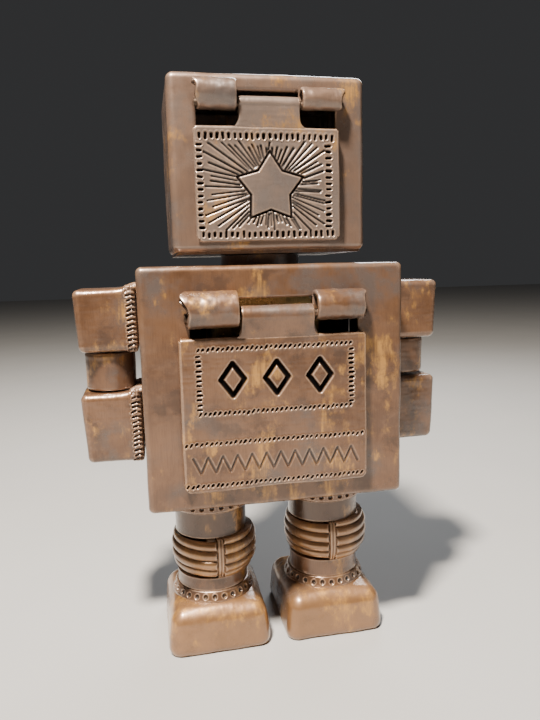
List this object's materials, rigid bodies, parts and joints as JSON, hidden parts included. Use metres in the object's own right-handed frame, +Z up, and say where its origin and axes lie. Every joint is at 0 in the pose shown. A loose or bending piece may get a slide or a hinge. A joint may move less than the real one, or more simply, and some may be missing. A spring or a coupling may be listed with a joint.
{
  "type": "wind-up robot",
  "caption": "Boxy wind-up walking robot with hinged chest and face doors, slab arms, ribbed legs and a key-wound clockwork that swings the legs.",
  "frame": {"origin": "on the floor under the middle of the model's bounding box", "axes": "+Z up, -Y the way the robot faces, +X to its left-hand side as seen in front"},
  "size_m": [0.164, 0.1024, 0.2432],
  "materials": {
    "patina_bronze": "hand-worked sheet and castings with a brown patina, rubbed gold on the edges",
    "brass": "brushed clock brass",
    "plain_steel": "turned steel, satin",
    "spring_steel": "blued spring steel",
    "key_steel": "nickelled steel, worn",
    "sole_leather": "waxed sole leather"
  },
  "bodies": {
    "torso": {"arm_rivets": "plain_steel", "back_cover_screws": "plain_steel", "chest_hinge_pin": "plain_steel", "elbow_pins": "plain_steel", "hip_axle": "plain_steel", "hip_bearings": "plain_steel", "key_bush": "brass", "left_lower_arm": "patina_bronze", "left_upper_arm": "patina_bronze", "mainspring": "spring_steel", "movement_back_plate": "brass", "movement_front_plate": "brass", "movement_pillars": "plain_steel", "movement_screws": "plain_steel", "neck_collar": "patina_bronze", "right_lower_arm": "patina_bronze", "right_upper_arm": "patina_bronze", "torso_back_cover": "patina_bronze", "torso_shell": "patina_bronze"},
    "head": {"head_shell": "patina_bronze", "head_base_plate": "patina_bronze", "face_hinge_pin": "plain_steel", "neck_bolt": "plain_steel", "neck_nut": "plain_steel"},
    "face_door": {"face_door": "patina_bronze"},
    "chest_door": {"chest_door": "patina_bronze"},
    "left_elbow": {"left_elbow_drum": "patina_bronze"},
    "right_elbow": {"right_elbow_drum": "patina_bronze"},
    "great_wheel": {"great_wheel": "brass", "ratchet_click": "plain_steel", "click_spring": "spring_steel"},
    "winder": {"winding_arbor": "plain_steel", "ratchet_wheel": "brass", "winding_key": "key_steel"},
    "second_arbor": {"second_arbor": "plain_steel", "second_wheel": "brass", "crown_wheel": "brass"},
    "governor": {"governor_arbor": "plain_steel", "governor_fan": "brass"},
    "crankshaft": {"crankshaft": "plain_steel", "crank_discs": "plain_steel"},
    "left_leg": {"left_sole_plate": "sole_leather", "left_foot": "patina_bronze", "left_foot_ring": "patina_bronze", "left_ankle_tube": "patina_bronze", "left_knee_bellows": "patina_bronze", "left_thigh_tube": "patina_bronze", "left_thigh_ring": "patina_bronze", "left_hip_yoke": "plain_steel", "left_leg_tie_bolt": "plain_steel"},
    "right_leg": {"right_sole_plate": "sole_leather", "right_foot": "patina_bronze", "right_foot_ring": "patina_bronze", "right_ankle_tube": "patina_bronze", "right_knee_bellows": "patina_bronze", "right_thigh_tube": "patina_bronze", "right_thigh_ring": "patina_bronze", "right_hip_yoke": "plain_steel", "right_leg_tie_bolt": "plain_steel"}
  },
  "joints": [
    {"name": "neck_swivel", "type": "hinge", "parent": "torso", "child": "head", "pos_m": [0, -0.00885, 0.169], "axis": [0, 0, 1], "range_deg": [-60, 60]},
    {"name": "face_door_hinge", "type": "hinge", "parent": "head", "child": "face_door", "pos_m": [0, -0.03885, 0.2306], "axis": [-1, 0, 0], "range_deg": [0, 100]},
    {"name": "chest_door_hinge", "type": "hinge", "parent": "torso", "child": "chest_door", "pos_m": [0, -0.04385, 0.149], "axis": [-1, 0, 0], "range_deg": [0, 90]},
    {"name": "left_elbow_turn", "type": "hinge", "parent": "torso", "child": "left_elbow", "pos_m": [0.0682, -0.00685, 0.124], "axis": [0, 0, 1], "continuous": true},
    {"name": "right_elbow_turn", "type": "hinge", "parent": "torso", "child": "right_elbow", "pos_m": [-0.0682, -0.00685, 0.124], "axis": [0, 0, 1], "continuous": true},
    {"name": "right_hip", "type": "hinge", "parent": "torso", "child": "right_leg", "pos_m": [-0.0271, -0.01085, 0.079], "axis": [1, 0, 0], "range_deg": [-3.5, 3.5]},
    {"name": "left_hip", "type": "hinge", "parent": "torso", "child": "left_leg", "pos_m": [0.0271, -0.01085, 0.079], "axis": [1, 0, 0], "range_deg": [-3.5, 3.5]},
    {"name": "great_wheel_turn", "type": "hinge", "parent": "torso", "child": "great_wheel", "pos_m": [0, -0.00885, 0.135], "axis": [0, 1, 0], "continuous": true},
    {"name": "winding", "type": "hinge", "parent": "great_wheel", "child": "winder", "pos_m": [0, 0.02415, 0.135], "axis": [0, 1, 0], "continuous": true},
    {"name": "second_arbor_turn", "type": "hinge", "parent": "torso", "child": "second_arbor", "pos_m": [0, -0.00885, 0.105], "axis": [0, 1, 0], "continuous": true},
    {"name": "governor_turn", "type": "hinge", "parent": "torso", "child": "governor", "pos_m": [-0.02, -0.00885, 0.105], "axis": [0, 1, 0], "continuous": true},
    {"name": "crankshaft_turn", "type": "hinge", "parent": "torso", "child": "crankshaft", "pos_m": [0, -0.02885, 0.105], "axis": [1, 0, 0], "continuous": true}
  ],
  "couplings": [
    {"joint": "left_hip", "follows": "right_hip", "ratio": -1},
    {"joint": "second_arbor_turn", "follows": "great_wheel_turn", "ratio": -4},
    {"joint": "governor_turn", "follows": "great_wheel_turn", "ratio": 16},
    {"joint": "crankshaft_turn", "follows": "great_wheel_turn", "ratio": 12}
  ]
}
